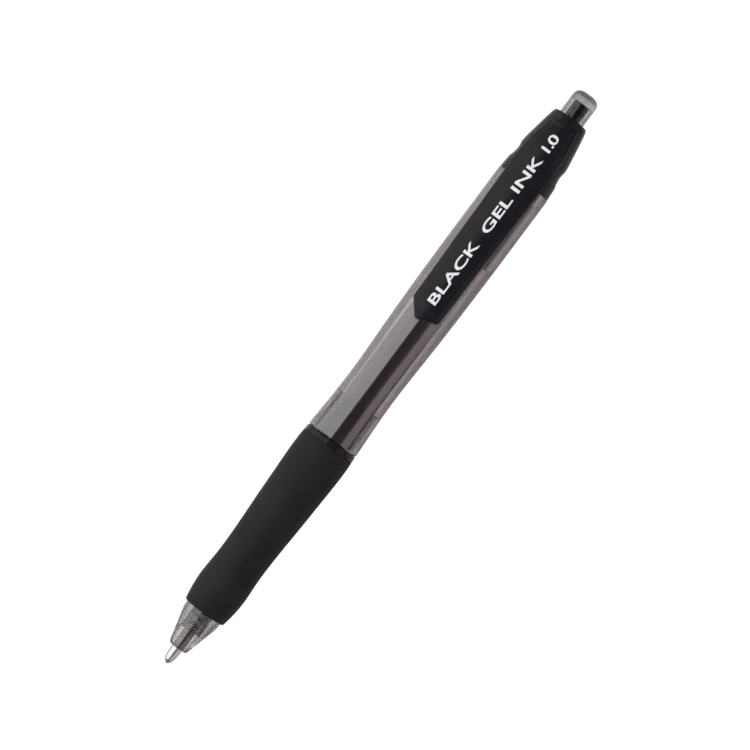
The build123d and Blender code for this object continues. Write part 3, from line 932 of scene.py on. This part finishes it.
def floor():
    """Pale floor: plain white to the eye, while the pen sees it lit and shaded by the studio."""
    bm = bmesh.new()
    bmesh.ops.create_grid(bm, x_segments=1, y_segments=1, size=FLOOR_SIZE)
    piece = mesh_object("floor", bm)
    piece.location.z = cad_low.z - FLOOR_GAP
    look = Look("floor_paper", Roughness=0.9, Specular_IOR_Level=0.1)
    look.tones(look.noise(40.0), (FLOOR_TONE,) * 3, (FLOOR_TONE * 1.02,) * 3)
    glow = look.nodes.new("ShaderNodeEmission")
    glow.inputs["Strength"].default_value = FLOOR_WHITE
    path = look.nodes.new("ShaderNodeLightPath")
    mix = look.nodes.new("ShaderNodeMixShader")
    look.links.new(path.outputs["Is Camera Ray"], mix.inputs["Fac"])
    look.links.new(look.shader.outputs["BSDF"], mix.inputs[1])
    look.links.new(glow.outputs["Emission"], mix.inputs[2])
    look.links.new(mix.outputs["Shader"], look.nodes["Material Output"].inputs["Surface"])
    piece.data.materials.append(look.material)


def studio_light():
    """World: a softbox on the +Y side, a dimmer rosy fill low on the -Y side, dark between them."""
    world = bpy.data.worlds.new("studio")
    bpy.context.scene.world = world
    world.use_nodes = True
    nodes, links = world.node_tree.nodes, world.node_tree.links
    direction = nodes.new("ShaderNodeTexCoord").outputs["Generated"]
    axes = nodes.new("ShaderNodeSeparateXYZ")
    links.new(direction, axes.inputs[0])

    def spread(value, span, low, high):
        node = nodes.new("ShaderNodeMapRange")
        node.interpolation_type = "SMOOTHSTEP"
        for socket, number in zip(("From Min", "From Max", "To Min", "To Max"), (*span, low, high)):
            node.inputs[socket].default_value = number
        links.new(value, node.inputs["Value"])
        return node.outputs["Result"]

    def blend(factor, first, second, kind="FLOAT"):
        node = nodes.new("ShaderNodeMix")
        node.data_type = kind
        sockets = [s for s in node.inputs if s.enabled and s.name in "AB"]
        links.new(factor, node.inputs[0])
        for socket, value in zip(sockets, (first, second)):
            if isinstance(value, bpy.types.NodeSocket):
                links.new(value, socket)
            else:
                socket.default_value = value
        return [s for s in node.outputs if s.enabled][0]

    def operate(operation, *values):
        node = nodes.new("ShaderNodeMath")
        node.operation = operation
        for value, socket in zip(values, node.inputs):
            links.new(value, socket)
        return node.outputs[0]

    side = spread(axes.outputs["Y"], SOFTBOX_EDGE, 0.0, 1.0)
    fill = blend(spread(axes.outputs["Z"], HORIZON, 0.0, 1.0), OVERHEAD,
                 spread(axes.outputs["Z"], FILL_EDGE, FILL, OVERHEAD))
    ends = spread(operate("ABSOLUTE", axes.outputs["X"]), END_EDGE, 1.0, END_LEVEL)
    background = nodes["Background"]
    links.new(operate("MULTIPLY", blend(side, fill, SOFTBOX), ends), background.inputs["Strength"])
    links.new(blend(side, (*FILL_TINT, 1), (1, 1, 1, 1), "RGBA"), background.inputs["Color"])


def camera():
    """Long lens above the pen, rolled so that the pen rises to the upper right."""
    lens = bpy.data.cameras.new("camera")
    lens.lens, lens.sensor_width = CAMERA_LENS, SENSOR
    lens.clip_start, lens.clip_end = 0.05, 20
    eye = bpy.data.objects.new("camera", lens)
    bpy.context.collection.objects.link(eye)
    back = Vector((0, -sin(CAMERA_TILT), cos(CAMERA_TILT)))
    along = Vector((1, 0, 0))
    across = back.cross(along)
    right = along * cos(CAMERA_ROLL) - across * sin(CAMERA_ROLL)
    up = along * sin(CAMERA_ROLL) + across * cos(CAMERA_ROLL)
    target = place(LENGTH / 2) + (AIM_RIGHT * right + AIM_UP * up) * MM
    distance = FRAMING * CAMERA_LENS / SENSOR
    turn = Matrix((right, up, back)).transposed().to_4x4()
    eye.matrix_world = Matrix.Translation(target + back * distance) @ turn
    bpy.context.scene.camera = eye


# --- the pen --------------------------------------------------------------------------------

front_barrel()
joint_ring()
rear_barrel()
grip()
top_cap()
return_spring()
clip()
clip_print()
push_button()
turned_pieces()
writing_ball()
dress_cad_nodes()

floor()
studio_light()
camera()
scene = bpy.context.scene
scene.view_settings.view_transform = "Standard"
scene.cycles.use_denoising = True
scene.cycles.transmission_bounces = 16
scene.cycles.max_bounces = 20
